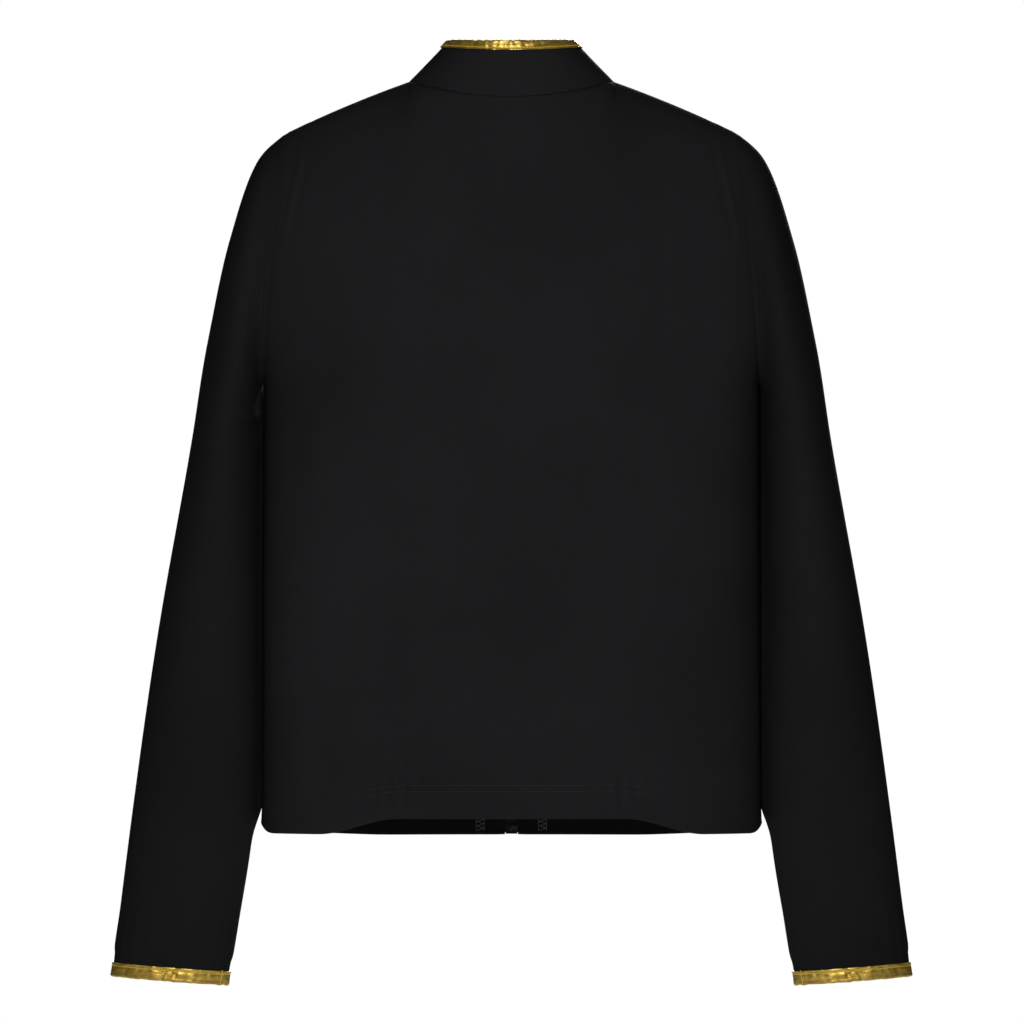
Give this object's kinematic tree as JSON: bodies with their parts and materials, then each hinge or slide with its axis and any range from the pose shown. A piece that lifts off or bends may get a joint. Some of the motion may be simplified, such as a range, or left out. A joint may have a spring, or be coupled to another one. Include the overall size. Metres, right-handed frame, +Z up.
{
  "type": "cheer uniform jacket",
  "caption": "Fitted long-sleeved stretch jacket with a stand collar, a front zip and metallic binding on the collar and cuffs; the zip slides and the sleeves lift.",
  "frame": {"origin": "middle of the neck opening, level with the points where the shoulder seams meet the collar", "axes": "+Z up, +Y out of the jacket's front (the side with the zip), +X towards the wearer's right sleeve"},
  "size_m": [0.6058, 0.155, 0.711],
  "materials": {
    "stretch_knit": "matte fine stretch knit",
    "gold_binding": "crinkled metallic gold fabric",
    "woven_tape": "matte woven tape",
    "zip_coil": "satin nylon",
    "zip_metal": "satin black enamel",
    "interlining": "matte felt",
    "label": "smooth satin ribbon"
  },
  "bodies": {
    "torso": {"back_neck_tape": "woven_tape", "back_panel": "stretch_knit", "care_label": "label", "collar_binding": "gold_binding", "collar_inner": "stretch_knit", "collar_interlining": "interlining", "collar_outer": "stretch_knit", "left_front_facing": "stretch_knit", "left_front_panel": "stretch_knit", "left_shoulder_tape": "woven_tape", "left_top_stop": "zip_metal", "left_zip_coil": "zip_coil", "left_zip_tape": "woven_tape", "right_front_facing": "stretch_knit", "right_front_panel": "stretch_knit", "right_shoulder_tape": "woven_tape", "right_top_stop": "zip_metal", "right_zip_coil": "zip_coil", "right_zip_tape": "woven_tape", "size_label": "label", "zip_insertion_pin": "zip_metal", "zip_retainer_box": "zip_metal"},
    "left_sleeve": {"left_sleeve": "stretch_knit", "left_cuff_binding": "gold_binding"},
    "right_sleeve": {"right_sleeve": "stretch_knit", "right_cuff_binding": "gold_binding"},
    "slider": {"zip_slider": "zip_metal"},
    "pull": {"zip_pull_tab": "zip_metal"}
  },
  "joints": [
    {"name": "zip_slide", "type": "slide", "parent": "torso", "child": "slider", "axis": [0, 0.0236, -0.9997], "range_m": [0, 0.519]},
    {"name": "pull_tab_swing", "type": "hinge", "parent": "slider", "child": "pull", "pos_m": [0, 0.06251, -0.03282], "axis": [1, 0, 0], "range_deg": [0, 160]},
    {"name": "left_sleeve_lift", "type": "hinge", "parent": "torso", "child": "left_sleeve", "pos_m": [-0.17, 0, -0.039], "axis": [0, 1, 0], "range_deg": [0, 50]},
    {"name": "right_sleeve_lift", "type": "hinge", "parent": "torso", "child": "right_sleeve", "pos_m": [0.17, 0, -0.039], "axis": [0, -1, 0], "range_deg": [0, 50]}
  ]
}
